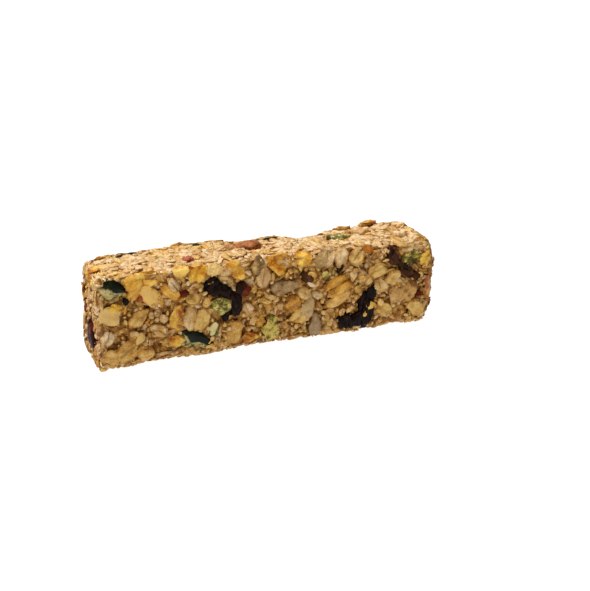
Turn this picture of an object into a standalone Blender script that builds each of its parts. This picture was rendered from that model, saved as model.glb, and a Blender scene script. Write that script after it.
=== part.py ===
"""A pressed granola bar lying on its narrow, flat underside.

The bar is one mass of oats, flakes and seeds, cut to a block. Dried fruit, an almond and
pumpkin seeds as large as a berry sit in pockets of it, each a solid of its own.
Metres, +Z up. The bar is long in X and its front looks to -Y. The origin is under the
middle of the bar, on the surface that it lies on.
"""

import math

import bmesh
import bpy
import numpy as np
from mathutils import Euler, Matrix, Vector

MM = 0.001

# ---- driving dimensions -------------------------------------------------------------
LENGTH = 120.0 * MM  # end to end, over the flakes that stand furthest out
WIDTH = 25.2 * MM  # front to back, with the bulge at the front's lower left
HEIGHT = 32.6 * MM  # underside to the highest lump of the top
BODY = np.array([118.6, 23.8, 30.6]) * MM  # the pressed block, without lumps

EDGE_RADIUS = 1.7 * MM  # how far the block's edges have crumbled round
END_RADIUS = 4.4 * MM  # the same at the right end, which is rounder
FOOT_RADIUS = 0.7 * MM  # the same at the lower left, where the edge is whole
FOOT_RUN = 22.0 * MM  # how far the whole edge runs from the left end
END_RUN = 9.0 * MM  # how far the round end reaches from the right end
END_TUCK = np.array([3.8, 2.8]) * MM  # how far the right end draws in, foot and shoulder
TUCK_HEIGHTS = np.array([12.0, 22.0]) * MM  # where it starts to, downwards and upwards
TUCK_RUN = 14.0 * MM  # length of the bar that it draws on

FLAKE_COUNT = 520  # flakes that shape the block's faces
FLAKE_RADIUS = (2.6 * MM, 4.6 * MM)
FLAKE_DEPTH = 1.2 * MM  # how far a flake may sit under the block's face
FLAKE_TILT = 0.22  # steepest slope of a flake against the face
FLAKE_BLEND = 3.3 * MM  # how far from an edge the flakes start to face round it
FLAKE_SEED = 11

CELL = 3.1 * MM  # spacing of the grid that carries the flakes
EDGE_CELLS = (0.7 * MM, 1.9 * MM)  # closer rows beside each edge

POCKET_GAP = 0.3 * MM  # air between a piece and its pocket
SLIVER = 0.06 * MM  # edges shorter than this are merged after the pockets are cut

# Lumps of the outline: centre, reach and push, in millimetres from the block's middle
# (X, Y) and from its underside (Z).
LUMPS = (
    ((-21.0, 8.0, 30.6), (16.0, 12.0, 6.0), (0.0, 0.0, 1.5)),  # low crown left of middle
    ((-47.0, 10.0, 30.6), (3.5, 5.0, 5.0), (0.0, 0.0, 0.8)),
    ((29.0, 8.0, 30.6), (4.5, 8.0, 5.0), (0.0, 0.0, 0.9)),
    ((42.0, 9.0, 30.6), (4.6, 8.0, 6.0), (0.0, 0.0, 2.4)),  # highest lump, near the right
    ((52.0, 8.0, 30.6), (4.0, 8.0, 5.0), (0.0, 0.0, 1.5)),
    ((-48.0, -11.9, 3.5), (12.0, 4.0, 6.0), (0.0, -1.3, 0.0)),  # bulging lower left
    ((-59.3, 0.0, 5.0), (4.0, 14.0, 9.0), (-1.3, 0.0, 0.0)),  # foot of the left end
    ((-30.0, -11.9, 0.0), (9.0, 4.0, 3.0), (0.0, 0.7, 0.0)),  # hollow beside the bulge
    ((10.0, 11.9, 14.0), (16.0, 4.0, 12.0), (0.0, 0.6, 0.0)),  # slight belly at the back
)

# Fruit, in millimetres: centre, half sizes (X, Y, Z) and turns about X, Y, Z in degrees.
RAISINS = {
    "raisin_front_1": ((-21.5, -9.5, 22.5), (3.6, 2.8, 3.0), (0, 24, 0)),
    "raisin_front_2": ((-14.9, -9.3, 17.5), (3.2, 3.0, 5.5), (0, -16, 4)),
    "raisin_front_3": ((31.8, -9.2, 8.2), (3.1, 3.0, 6.4), (0, 6, -4)),
    "raisin_front_4": ((24.3, -9.4, 5.1), (3.1, 2.8, 3.5), (0, -12, 6)),
    "raisin_front_5": ((41.6, -9.5, 25.5), (2.7, 2.6, 3.5), (0, -28, 0)),
    "raisin_front_6": ((46.9, -9.4, 19.5), (3.3, 2.6, 2.5), (0, 32, 0)),
    "raisin_front_7": ((10.2, -9.9, 22.5), (2.5, 2.2, 2.2), (0, 10, 0)),
    "raisin_back_1": ((-38.0, 9.3, 11.5), (4.6, 2.8, 3.1), (0, 20, 0)),
    "raisin_back_2": ((5.0, 9.9, 21.0), (3.0, 2.8, 4.4), (0, 30, 0)),
    "raisin_back_3": ((41.0, 9.3, 9.6), (4.4, 2.8, 2.9), (0, -14, 0)),
}
CRANBERRIES = {
    "cranberry_left_end": ((-57.3, -1.6, 9.6), (2.7, 5.2, 5.0), (8, 4, 0)),
    "cranberry_right_end": ((57.2, 1.5, 17.5), (2.2, 4.0, 3.4), (20, 0, 0)),
    "cranberry_back": ((-12.0, 9.4, 7.6), (3.6, 2.6, 3.2), (0, 0, 0)),
}
ALMONDS = {
    "almond_top": ((-6.4, 2.9, 29.9), (6.3, 3.0, 1.7), (4, -2, 12)),
}
# Seeds, in millimetres: centre, half length, half width, half thickness, and turns.
PUMPKIN_SEEDS = {
    "pumpkin_seed_front_1": ((-53.4, -10.7, 26.3), (4.3, 3.3, 1.5), (84, 14, 0)),
    "pumpkin_seed_front_2": ((-28.3, -10.7, 6.1), (6.0, 3.2, 1.5), (98, 20, 0)),
    "pumpkin_seed_top_1": ((-45.2, 8.0, 30.5), (4.9, 2.9, 1.2), (-12, 0, 12)),
    "pumpkin_seed_top_2": ((-22.0, 8.2, 31.1), (4.2, 2.6, 1.2), (-8, 4, -18)),
    "pumpkin_seed_top_3": ((3.8, 9.3, 30.1), (4.8, 2.8, 1.2), (-16, 0, 6)),
    "pumpkin_seed_back": ((23.0, 10.8, 20.0), (5.6, 3.3, 1.4), (92, -35, 0)),
}

RAISIN_SIDES = (10, 7)  # columns and rows of a fruit's mesh
SEED_SIDES = (12, 6)
WRINKLE = 0.10  # depth of a raisin's folds, as a share of its radius

# Colour, roughness
FINISHES = {
    "oat_mass": ((0.56, 0.36, 0.17), 0.75),
    "raisin_skin": ((0.030, 0.012, 0.016), 0.42),
    "cranberry_skin": ((0.16, 0.012, 0.012), 0.36),
    "almond_skin": ((0.40, 0.16, 0.09), 0.6),
    "pumpkin_seed_skin": ((0.035, 0.055, 0.025), 0.48),
}


def clear_scene():
    for old in list(bpy.data.objects):
        bpy.data.objects.remove(old, do_unlink=True)


def new_collection(name):
    made = bpy.data.collections.new(name)
    bpy.context.scene.collection.children.link(made)
    return made


def make_finish(name):
    colour, roughness = FINISHES[name]
    finish = bpy.data.materials.new(name)
    finish.use_nodes = True
    shader = finish.node_tree.nodes["Principled BSDF"]
    shader.inputs["Base Color"].default_value = (*colour, 1.0)
    shader.inputs["Roughness"].default_value = roughness
    finish.diffuse_color = (*colour, 1.0)
    return finish


def add_object(name, mesh_bm, collection, finish=None):
    """Puts a bmesh into a new object and frees it."""
    mesh = bpy.data.meshes.new(name)
    mesh_bm.to_mesh(mesh)
    mesh_bm.free()
    if finish:
        mesh.materials.append(finish)
    made = bpy.data.objects.new(name, mesh)
    collection.objects.link(made)
    return made


def get_points(mesh_bm):
    return np.array([v.co for v in mesh_bm.verts])


def set_points(mesh_bm, points):
    for vertex, point in zip(mesh_bm.verts, points):
        vertex.co = point


# ---- the pressed mass ---------------------------------------------------------------
def grid_rows(size):
    """Rows across one side of the block: evenly spaced, and closer beside its edges."""
    half = size / 2
    inner = half - EDGE_CELLS[-1]
    count = max(2, round(2 * inner / CELL))
    rows = [-inner + 2 * inner * k / count for k in range(count + 1)]
    rows += [side * (half - step) for step in EDGE_CELLS[:-1] for side in (-1, 1)]
    return sorted(rows)


def block_grid():
    """A cube primitive at the block's size, cut into a grid by planes."""
    block = bmesh.new()
    bmesh.ops.create_cube(block, size=1.0)
    bmesh.ops.scale(block, vec=Vector(BODY), verts=block.verts)
    for axis in range(3):
        normal = Vector([float(axis == k) for k in range(3)])
        for row in grid_rows(BODY[axis]):
            everything = [*block.verts, *block.edges, *block.faces]
            bmesh.ops.bisect_plane(
                block, geom=everything, plane_co=normal * row, plane_no=normal
            )
    return block


def smooth_step(value):
    value = np.clip(value, 0.0, 1.0)
    return value * value * (3.0 - 2.0 * value)


def edge_radii(points):
    """The crumbled radius at each point: small at the foot, large at the right end."""
    x, z = points[:, 0], points[:, 2]
    half_length, half_height = BODY[0] / 2, BODY[2] / 2
    near_left = 1.0 - smooth_step((x + half_length - FOOT_RUN) / (3.0 * MM))
    low = 1.0 - smooth_step((z + half_height) / (0.3 * BODY[2]))
    near_right = smooth_step((x - half_length + END_RUN) / END_RUN)
    radius = EDGE_RADIUS + (END_RADIUS - EDGE_RADIUS) * near_right
    return radius + (FOOT_RADIUS - EDGE_RADIUS) * near_left * low


def way_out(points, radius):
    """The nearest points of a core that lies a radius inside, and the way out from it."""
    core = np.clip(points, radius - BODY / 2, BODY / 2 - radius)
    outward = points - core
    return core, outward / np.linalg.norm(outward, axis=1, keepdims=True)


def round_edges(points):
    """Pulls the points onto a round-edged block."""
    radius = edge_radii(points)[:, None]
    core, outward = way_out(points, radius)
    return core + outward * radius


def flake_push(points):
    """Moves the points to the flakes' height, along a way out that turns at the edges.

    The underside was pressed flat by the tray, so no point of it moves up or down.
    """
    _, way = way_out(points, FLAKE_BLEND)
    way[:, 2] = np.maximum(way[:, 2], 0.0)
    return way * flake_relief(points)[:, None]


def flake_relief(points):
    """How far the flakes leave each point under the face.

    Each flake is a tilted disc near the face. A point takes the height of the disc that
    stands highest there, and a disc falls away quickly beyond its own radius.
    """
    rng = np.random.default_rng(FLAKE_SEED)
    spots = rng.uniform(-0.5, 0.5, (FLAKE_COUNT, 3)) * BODY
    room = BODY / 2 - np.abs(spots)
    nearest = room.argmin(axis=1)
    rows = np.arange(FLAKE_COUNT)
    spots[rows, nearest] = np.sign(spots[rows, nearest]) * BODY[nearest] / 2
    radius = rng.uniform(*FLAKE_RADIUS, FLAKE_COUNT)
    slope = rng.normal(0.0, FLAKE_TILT / 2, (FLAKE_COUNT, 3))
    level = rng.uniform(-FLAKE_DEPTH, 0.0, FLAKE_COUNT)
    away = points[:, None, :] - spots[None, :, :]
    reach = np.linalg.norm(away, axis=2) / radius
    height = level + (away * slope).sum(axis=2) - FLAKE_DEPTH * reach**4
    return np.clip(height.max(axis=1), -1.5 * FLAKE_DEPTH, 0.3 * FLAKE_DEPTH)


def lump_push(points):
    """The sum of the outline's lumps, each a soft bell that moves what it covers."""
    push = np.zeros_like(points)
    for centre, reach, way in LUMPS:
        away = (points - np.array(centre) * MM) / (np.array(reach) * MM)
        push += np.exp(-(away**2).sum(axis=1))[:, None] * np.array(way) * MM
    return push


def tuck_right_end(points):
    """Draws the foot and the shoulder of the right end in, so that it curves like a nose."""
    x, z = points[:, 0], points[:, 2]
    foot = 1.0 - smooth_step(z / TUCK_HEIGHTS[0])
    shoulder = smooth_step((z - TUCK_HEIGHTS[1]) / (BODY[2] - TUCK_HEIGHTS[1]))
    near = smooth_step((x - BODY[0] / 2) / TUCK_RUN + 1.0)
    shift = np.zeros_like(points)
    shift[:, 0] = -near * (END_TUCK[0] * foot + END_TUCK[1] * shoulder)
    return shift


def fit_to_size(points):
    """Stretches the last fraction of a millimetre, so that the outline has its size."""
    low, high = points.min(axis=0), points.max(axis=0)
    size = np.array([LENGTH, WIDTH, HEIGHT])
    share = (points - low) / (high - low)
    return (share - [0.5, 0.5, 0.0]) * size


def build_mass(collection, finish):
    block = block_grid()
    points = get_points(block)
    points = round_edges(points) + flake_push(points)
    points[:, 2] += BODY[2] / 2
    points += lump_push(points) + tuck_right_end(points)
    points[:, 2] = np.maximum(points[:, 2], 0.0)
    set_points(block, fit_to_size(points))
    bmesh.ops.triangulate(block, faces=block.faces)
    bmesh.ops.recalc_face_normals(block, faces=block.faces)
    return add_object("bar", block, collection, finish)


# ---- fruit, nut and seeds -----------------------------------------------------------
def sphere_directions(sides):
    """A unit sphere primitive and its points."""
    ball = bmesh.new()
    bmesh.ops.create_uvsphere(ball, u_segments=sides[0], v_segments=sides[1], radius=1.0)
    return ball, get_points(ball)


def fruit_shape(half_sizes, seed, folds):
    """A dried fruit: an ellipsoid with waves of folds round its long side."""
    ball, ways = sphere_directions(RAISIN_SIDES)
    rng = np.random.default_rng(seed)
    swell = np.zeros(len(ways))
    for _ in range(5):
        wave = rng.normal(0.0, 2.4, 3)
        swell += np.sin(ways @ wave + rng.uniform(0, 2 * math.pi)) / 5
    scale = 1.0 + folds * swell / max(np.abs(swell).max(), 1e-9)
    set_points(ball, ways * scale[:, None] * np.array(half_sizes) * MM)
    return ball


def almond_shape(half_sizes, _):
    """A piece of almond: round at one end of X, drawn to a point at the other."""
    ball, ways = sphere_directions(RAISIN_SIDES)
    taper = 1.0 - 0.32 * (ways[:, 0] + 0.2)
    shaped = ways * np.stack([np.ones_like(taper), taper, taper], axis=1)
    set_points(ball, shaped * np.array(half_sizes) * MM)
    return ball


def seed_shape(half_sizes, _):
    """A pumpkin seed: a flat drop with a blunt rim, pointed at +X."""
    ball, ways = sphere_directions(SEED_SIDES)
    along = ways[:, 0]
    width = 1.0 - 0.45 * np.maximum(along, 0.0) ** 2 - 0.10 * (along < 0) * along**2
    domed = np.sign(ways[:, 2]) * np.abs(ways[:, 2]) ** 0.8
    shaped = np.stack([along, ways[:, 1] * width, domed], axis=1)
    set_points(ball, shaped * np.array(half_sizes) * MM)
    return ball


def turn_matrix(turns):
    return Euler([math.radians(angle) for angle in turns]).to_matrix().to_4x4()


def add_piece(name, shape, row, collection, finish):
    """Places one fruit or seed where its row says."""
    centre, _, turns = row
    piece = add_object(name, shape, collection, finish)
    piece.matrix_world = Matrix.Translation(Vector(centre) * MM) @ turn_matrix(turns)
    piece.data.shade_smooth()
    return piece


def cut_pocket(mass, piece, collection):
    """Cuts the piece's own shape, larger by the gap, out of the mass."""
    grown = bmesh.new()
    grown.from_mesh(piece.data)
    grown.normal_update()
    shift = [vertex.normal * POCKET_GAP for vertex in grown.verts]
    set_points(grown, [v.co + step for v, step in zip(grown.verts, shift)])
    cutter = add_object(f"{piece.name}_pocket", grown, collection)
    cutter.matrix_world = piece.matrix_world
    cutter.hide_render = True
    cutter.display_type = "WIRE"
    cut = mass.modifiers.new(cutter.name, "BOOLEAN")
    cut.operation = "DIFFERENCE"
    cut.solver = "EXACT"
    cut.object = cutter


def weld_slivers(mass):
    """Merges the tiny edges that the cuts leave behind."""
    weld = mass.modifiers.new("weld_slivers", "WELD")
    weld.merge_threshold = SLIVER


def main():
    clear_scene()
    parts = new_collection("granola_bar")
    cutters = new_collection("pocket_cutters")
    finishes = {name: make_finish(name) for name in FINISHES}
    mass = build_mass(parts, finishes["oat_mass"])

    kinds = (
        (RAISINS, lambda half, seed: fruit_shape(half, seed, WRINKLE), "raisin_skin"),
        (CRANBERRIES, lambda half, seed: fruit_shape(half, seed, WRINKLE), "cranberry_skin"),
        (ALMONDS, almond_shape, "almond_skin"),
        (PUMPKIN_SEEDS, seed_shape, "pumpkin_seed_skin"),
    )
    seed = 0
    for rows, shape, finish in kinds:
        for name, row in rows.items():
            seed += 1
            piece = add_piece(name, shape(row[1], seed), row, parts, finishes[finish])
            cut_pocket(mass, piece, cutters)
    weld_slivers(mass)


main()
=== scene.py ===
# %% [markdown]
# # A pressed granola bar
#
# A granola bar is a heap that holds together: rolled oats, corn flakes, seeds and nuts
# are stirred into hot syrup, pressed flat in a tray and cut into blocks. Up close there
# is no smooth surface at all, only the edges and faces of hundreds of pieces and the dark
# gaps between them. So this lesson never models "the bar". It models one oat flake, one
# corn flake, one kernel, as formulas, and then lays hundreds of unlike copies against the
# outline that the solid model gives.

# %% Load the solid model
import math

import bpy
import numpy as np
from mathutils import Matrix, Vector
from mathutils.bvhtree import BVHTree


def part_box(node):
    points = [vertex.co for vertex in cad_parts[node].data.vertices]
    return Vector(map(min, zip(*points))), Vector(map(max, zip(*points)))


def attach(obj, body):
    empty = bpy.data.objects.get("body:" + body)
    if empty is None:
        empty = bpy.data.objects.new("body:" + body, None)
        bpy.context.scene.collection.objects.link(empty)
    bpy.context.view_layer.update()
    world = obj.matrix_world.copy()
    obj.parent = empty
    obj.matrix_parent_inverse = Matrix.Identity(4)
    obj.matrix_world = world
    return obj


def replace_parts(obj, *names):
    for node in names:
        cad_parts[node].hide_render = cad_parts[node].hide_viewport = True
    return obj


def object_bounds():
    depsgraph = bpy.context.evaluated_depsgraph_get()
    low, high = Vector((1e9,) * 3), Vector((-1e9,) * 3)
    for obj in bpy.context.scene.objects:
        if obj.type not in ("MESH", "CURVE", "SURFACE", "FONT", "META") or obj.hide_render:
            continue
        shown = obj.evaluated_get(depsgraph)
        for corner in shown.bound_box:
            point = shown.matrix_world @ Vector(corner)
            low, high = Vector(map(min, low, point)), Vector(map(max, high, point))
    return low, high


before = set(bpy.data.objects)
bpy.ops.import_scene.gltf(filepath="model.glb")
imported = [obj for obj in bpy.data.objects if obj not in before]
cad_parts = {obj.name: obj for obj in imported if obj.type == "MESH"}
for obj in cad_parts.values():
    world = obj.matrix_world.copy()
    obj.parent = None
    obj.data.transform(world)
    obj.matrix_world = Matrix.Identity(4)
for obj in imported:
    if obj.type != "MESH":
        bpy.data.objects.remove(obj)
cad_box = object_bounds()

MM = 0.001
LOW, HIGH = (np.array(corner) for corner in cad_box)
print("solid model, mm:", (LOW / MM).round(1), "to", (HIGH / MM).round(1))


# %% [markdown]
# ## The outline, read as height maps
#
# Every piece has to end at the outline of the solid bar, with its lumps and its bulge. We
# could search the solid for the nearest point of each of a hundred thousand vertices, but
# rays are simpler and need far fewer questions: one ray for each cell of a coarse grid
# over a face tells how far that face stands out there. The outer cells look past the
# crumbled edge, so they are left out and filled from their neighbours. The grid is then
# widened and blurred, so that it follows the tips of the flakes and not the dips between.

# %% One search tree over the solids
FACES = {
    "left": (0, -1),
    "right": (0, 1),
    "front": (1, -1),
    "back": (1, 1),
    "base": (2, -1),
    "top": (2, 1),
}


def mesh_points(mesh):
    """A mesh's vertices as an array of rows."""
    held = np.zeros(len(mesh.vertices) * 3, np.float32)
    mesh.vertices.foreach_get("co", held)
    return held.reshape(-1, 3).astype(float)


def solids_tree():
    """A tree that answers rays, over the triangles of all solids together."""
    points, triangles = [], []
    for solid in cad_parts.values():
        first = len(points)
        points += mesh_points(solid.data).tolist()
        triangles += [[first + v for v in face.vertices] for face in solid.data.polygons]
    return BVHTree.FromPolygons(points, triangles)


tree_of_solids = solids_tree()

# %% Height maps of the six faces
MAP_CELL = 1.5 * MM
EDGE_CELLS = 2  # outer cells that look past the crumbled edges
DEEPEST = 3.4 * MM  # what lies further under a face belongs to its neighbour
RAY_START = 20 * MM  # clear of the bar


def merged(grid, merge):
    """Each cell merged with the eight beside it, edges repeated."""
    padded = np.pad(grid, 1, mode="edge")
    rows, columns = grid.shape
    views = [padded[i : i + rows, j : j + columns] for i in range(3) for j in range(3)]
    return merge(np.stack(views), axis=0)


def read_outline(axis, side):
    """How far a face stands out along its own axis, on a grid over the other two axes."""
    others = [k for k in range(3) if k != axis]
    lines = [np.arange(LOW[k] + MAP_CELL / 2, HIGH[k], MAP_CELL) for k in others]
    inner = [line[EDGE_CELLS:-EDGE_CELLS] for line in lines]
    way = Vector([-side * float(k == axis) for k in range(3)])
    start = side * (max(abs(LOW[axis]), abs(HIGH[axis])) + RAY_START)
    depth = np.full((len(inner[0]), len(inner[1])), -np.inf)
    for i, j in np.ndindex(depth.shape):
        origin = np.full(3, start)
        origin[others] = inner[0][i], inner[1][j]
        place, *_ = tree_of_solids.ray_cast(Vector(origin), way)
        if place is not None:
            depth[i, j] = side * place[axis]
    depth = np.maximum(depth, np.median(depth) - DEEPEST)
    depth = np.pad(depth, EDGE_CELLS, mode="edge")
    depth = merged(merged(depth, np.max), np.max)
    depth = merged(merged(depth, np.mean), np.mean)
    return {"axis": axis, "side": side, "others": others, "depth": depth}


outline = {name: read_outline(*spec) for name, spec in FACES.items()}
for name, face in outline.items():
    low, high = face["depth"].min() / MM, face["depth"].max() / MM
    print(f"{name}: stands out {low:.1f} to {high:.1f} mm")


def outline_at(face, points):
    """The face's height above each point, blended between the four nearest cells."""
    depth = face["depth"]
    steps = [
        np.clip((points[..., k] - LOW[k]) / MAP_CELL - 0.5, 0, size - 1.001)
        for k, size in zip(face["others"], depth.shape)
    ]
    i, j = (step.astype(int) for step in steps)
    s, t = steps[0] - i, steps[1] - j
    near = depth[i, j] * (1 - t) + depth[i, j + 1] * t
    far = depth[i + 1, j] * (1 - t) + depth[i + 1, j + 1] * t
    return near * (1 - s) + far * s


# %% [markdown]
# ## One closed globe for every piece
#
# An oat flake, a kernel and a raisin are all closed skins without holes, so all of them
# start from the same grid of two parameters: the angle round and the angle from pole to
# pole. A formula then flattens, stretches, bends or wrinkles the globe. Because the poles
# are single points and the last column joins the first, nothing is left open. Pieces that
# are there by the hundred get a few dozen faces, the single ones a few thousand.

# %% The globe
def globe(around, rows):
    """Points of a unit globe and its quads and triangles, all facing outwards.

    A point at polar angle p and turn t is (sin p cos t, sin p sin t, cos p).
    """
    polar = np.pi * np.arange(1, rows)[:, None] / rows
    turn = 2 * np.pi * np.arange(around)[None, :] / around
    x, y = np.sin(polar) * np.cos(turn), np.sin(polar) * np.sin(turn)
    ring = np.stack([x, y, np.cos(polar) + 0 * turn], axis=-1).reshape(-1, 3)
    points = np.vstack([[0, 0, 1], ring, [0, 0, -1]])
    here = 1 + np.arange((rows - 1) * around).reshape(rows - 1, around)
    after = np.roll(here, -1, axis=1)
    quads = np.stack([here[:-1], here[1:], after[1:], after[:-1]], axis=-1)
    north = np.stack([0 * here[0], here[0], after[0]], axis=-1)
    south_pole = 0 * here[0] + len(points) - 1
    south = np.stack([south_pole, after[-1], here[-1]], axis=-1)
    return {
        "points": points,
        "quads": quads.reshape(-1, 4),
        "tris": np.vstack([north, south]),
    }


CRUMB = globe(6, 4)
SHARD = globe(8, 4)
OAT = globe(12, 6)
MEDIUM = globe(28, 11)
FINE = globe(64, 44)


# %% Copies joined into one mesh
def fill_attribute(mesh, name, kind, key, values):
    """Stores one row of values for each vertex under a name that a finish can read."""
    held = mesh.attributes.new(name, kind, "POINT")
    held.data.foreach_set(key, values.astype(np.float32).ravel())


def as_mesh(name, groups, finish):
    """Joins copies of one or several shapes into one mesh that rides on the bar.

    A group is points (copies x vertices x 3), three numbers of place for each vertex,
    four of dye for each copy or each vertex, and the shape that all its copies share.
    Place and dye become attributes that the finish reads.
    """
    quads, tris, dyes, offset = [], [], [], 0
    for points, _, dye_and_shade, shape in groups:
        count, size = points.shape[:2]
        step = (offset + np.arange(count) * size)[:, None, None]
        quads.append((shape["quads"] + step).reshape(-1, 4))
        tris.append((shape["tris"] + step).reshape(-1, 3))
        dye_and_shade = dye_and_shade[:, None] if dye_and_shade.ndim == 2 else dye_and_shade
        dyes.append(np.broadcast_to(dye_and_shade, (count, size, 4)).reshape(-1, 4))
        offset += count * size
    quads, tris = np.vstack(quads), np.vstack(tris)
    corners = np.concatenate([quads.ravel(), tris.ravel()]).astype(np.int32)
    tri_starts = np.arange(quads.size, len(corners), 3)
    starts = np.concatenate([np.arange(0, quads.size, 4), tri_starts]).astype(np.int32)
    mesh = bpy.data.meshes.new(name)
    mesh.vertices.add(offset)
    every_point = np.concatenate([group[0].ravel() for group in groups])
    mesh.vertices.foreach_set("co", every_point.astype(np.float32))
    mesh.loops.add(len(corners))
    mesh.loops.foreach_set("vertex_index", corners)
    mesh.polygons.add(len(starts))
    mesh.polygons.foreach_set("loop_start", starts)
    mesh.polygons.foreach_set("use_smooth", np.ones(len(starts), bool))
    mesh.update(calc_edges=True)
    fill_attribute(mesh, "dye_and_shade", "FLOAT_COLOR", "color", np.vstack(dyes))
    places = np.concatenate([group[1].ravel() for group in groups])
    fill_attribute(mesh, "place", "FLOAT_VECTOR", "vector", places)
    mesh.materials.append(finish)
    made = bpy.data.objects.new(name, mesh)
    bpy.context.scene.collection.objects.link(made)
    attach(made, "root")
    pieces = sum(len(group[0]) for group in groups)
    print(f"{name}: {pieces} pieces, {2 * len(quads) + len(tris)} triangles")
    return made


# %% [markdown]
# ## Shapes as formulas
#
# No two oat flakes are alike, so each formula takes the whole family at once: its random
# numbers have one row for each copy, and numpy works out every vertex of every copy in
# one go. A wave with a random direction is the only irregularity needed; four or five
# added together already look accidental.

# %% Waves
def waves(rng, count, where, pitch, how_many=5):
    """Smooth accidental bumps, mostly between -1 and 1, unlike for each copy.

    The mean of how_many sines, each running in a random direction through the points
    where with about pitch radians to a unit length, scaled up to fill the range.
    """
    where = np.broadcast_to(where, (count, *where.shape[-2:]))
    way = rng.normal(0.0, pitch, (count, how_many, where.shape[-1]))
    shift = rng.uniform(0, 2 * np.pi, (count, how_many, 1))
    wave = np.sin(np.einsum("kwd,knd->kwn", way, where) + shift)
    return wave.mean(axis=1) * np.sqrt(how_many) * 0.7


def column(rng, values, count):
    """One value for each copy: drawn between two limits, or the array as it is given."""
    if isinstance(values, tuple):
        return rng.uniform(*values, (count, 1))
    return np.asarray(values, float).reshape(count, 1)


# %% Flakes
def flake(rng, count, shape, length, width, thickness, ragged, curl, crumple=0.0):
    """Thin flakes: an oval disc with a ragged rim, cupped, twisted and crumpled.

    In the plane a point lies at rim * s, where s, 0 at the poles and 1 at the rim, is the
    square root of the globe's own radius, so that rows crowd to the rim. Both skins are
    then lifted together by cup * x*x + roll * y*y + twist * x*y and the crumple's waves.
    """
    ways = shape["points"]
    turn = np.arctan2(ways[:, 1], ways[:, 0])
    spread = np.sqrt(np.hypot(ways[:, 0], ways[:, 1]))
    half, half_wide, half_thick = (
        column(rng, size, count) / 2 for size in (length, width, thickness)
    )
    ring = np.stack([np.cos(turn), np.sin(turn)], axis=-1)
    jagged = waves(rng, count, ring, 2.2) + 0.5 * waves(rng, count, ring, 6.0)
    flat = (spread * (1 + ragged * jagged))[..., None] * ring
    cup, roll, twist = rng.normal(0, curl, (3, count, 1))
    u, v = flat[..., 0], flat[..., 1]
    hills = waves(rng, count, flat, 3.0) + 0.35 * waves(rng, count, flat, 8.0)
    lift = (cup * u * u + roll * v * v + twist * u * v) * half_wide + crumple * hills
    skin = np.sign(ways[:, 2]) * np.sqrt(np.abs(ways[:, 2]))
    points = np.stack([half * u, half_wide * v, lift + skin * half_thick], axis=-1)
    return points, np.stack([u, v, hills], axis=-1)


# %% Kernels, slices and crumbs
def kernel(rng, count, shape, length, width, thickness, taper, bend=0.0, rough=0.03):
    """Solid seeds and slices: an ellipsoid drawn out to a point at +X.

    Its width and thickness are multiplied by 1 - taper * (x + 0.2), its axis is bent by
    bend * x*x to the side, and shallow waves keep the skin from being perfect.
    """
    ways = shape["points"]
    half, half_wide, half_thick = (
        column(rng, size, count) / 2 for size in (length, width, thickness)
    )
    hills = waves(rng, count, ways, 2.5) + 0.5 * waves(rng, count, ways, 7.0)
    swell = 1 + rough * hills
    narrow = (1 - taper * (ways[:, 0] + 0.2)) * swell
    side = bend * rng.uniform(-1, 1, (count, 1)) * half * ways[:, 0] ** 2
    domed = np.sign(ways[:, 2]) * np.abs(ways[:, 2]) ** 0.8
    x = half * ways[:, 0] * swell
    y = half_wide * ways[:, 1] * narrow + side
    points = np.stack([x, y, half_thick * domed * narrow], axis=-1)
    u, v = (np.broadcast_to(ways[:, k], x.shape) for k in (0, 1))
    return points, np.stack([u, v, hills], axis=-1)


# %% [markdown]
# ## Laying and pressing
#
# A copy needs a spot on a face, a way to lie and a depth. The depth is measured from the
# copy's own highest point, so a flake on edge sinks further than one that lies flat, and
# both end at the outline. Then comes the press: whatever still stands over the outline,
# mostly over a neighbouring face, is squeezed back to a fifth of its height, as the tray
# and the knife do it. The edges of such a block crumble, so spots near an edge move onto
# a rounding, and the pieces there face outwards from it.

# %% Noise on a lattice
LATTICE = 32


def smooth_step(value):
    value = np.clip(value, 0.0, 1.0)
    return value * value * (3.0 - 2.0 * value)


def lattice_noise(points, size, seed):
    """Smooth noise from 0 to 1: random values on a cubic lattice, blended eightfold."""
    values = np.random.default_rng(seed).random((LATTICE, LATTICE, LATTICE))
    cell = np.floor(points / size)
    share = smooth_step(points / size - cell)
    total = np.zeros(points.shape[:-1])
    for corner in np.ndindex(2, 2, 2):
        weight = np.prod(np.where(corner, share, 1 - share), axis=-1)
        i, j, k = np.moveaxis((cell.astype(int) + corner) % LATTICE, -1, 0)
        total += weight * values[i, j, k]
    return total


# %% Turning, laying and pressing copies
SQUEEZE = 0.2
TABLE_GAP = 0.02 * MM
EDGE_MIN = 1.2 * MM  # least radius of the block's crumbled edges
EDGE_SPAN = 3.6 * MM  # how much larger it gets
EDGE_PITCH = 7.0 * MM  # how far apart the worn places are
END_ROUND = 2.5 * MM  # how much rounder the right end is
END_SHARP = 1.4 * MM  # how much sharper the left end is
END_RUN = 10 * MM  # how far from an end this starts
EDGES = [(outline[a], outline[b]) for a in FACES for b in FACES if FACES[a][0] < FACES[b][0]]


def unit(vectors):
    return vectors / np.linalg.norm(vectors, axis=-1, keepdims=True)


def turned(points, normal, along):
    """Turns each copy: its thin axis Z to normal, its long axis X as near along as fits."""
    across = unit(np.cross(normal, along))
    axes = np.stack([np.cross(across, normal), across, normal], axis=1)
    return np.einsum("kni,kij->knj", points, axes)


def laid(points, spots, out, level, share=1.0):
    """Moves each copy so that this share of its points is under level above its spot."""
    rise = np.quantile(np.einsum("kni,ki->kn", points, out), share, axis=1)
    return points + (spots + out * (level - rise)[:, None])[:, None, :]


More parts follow.
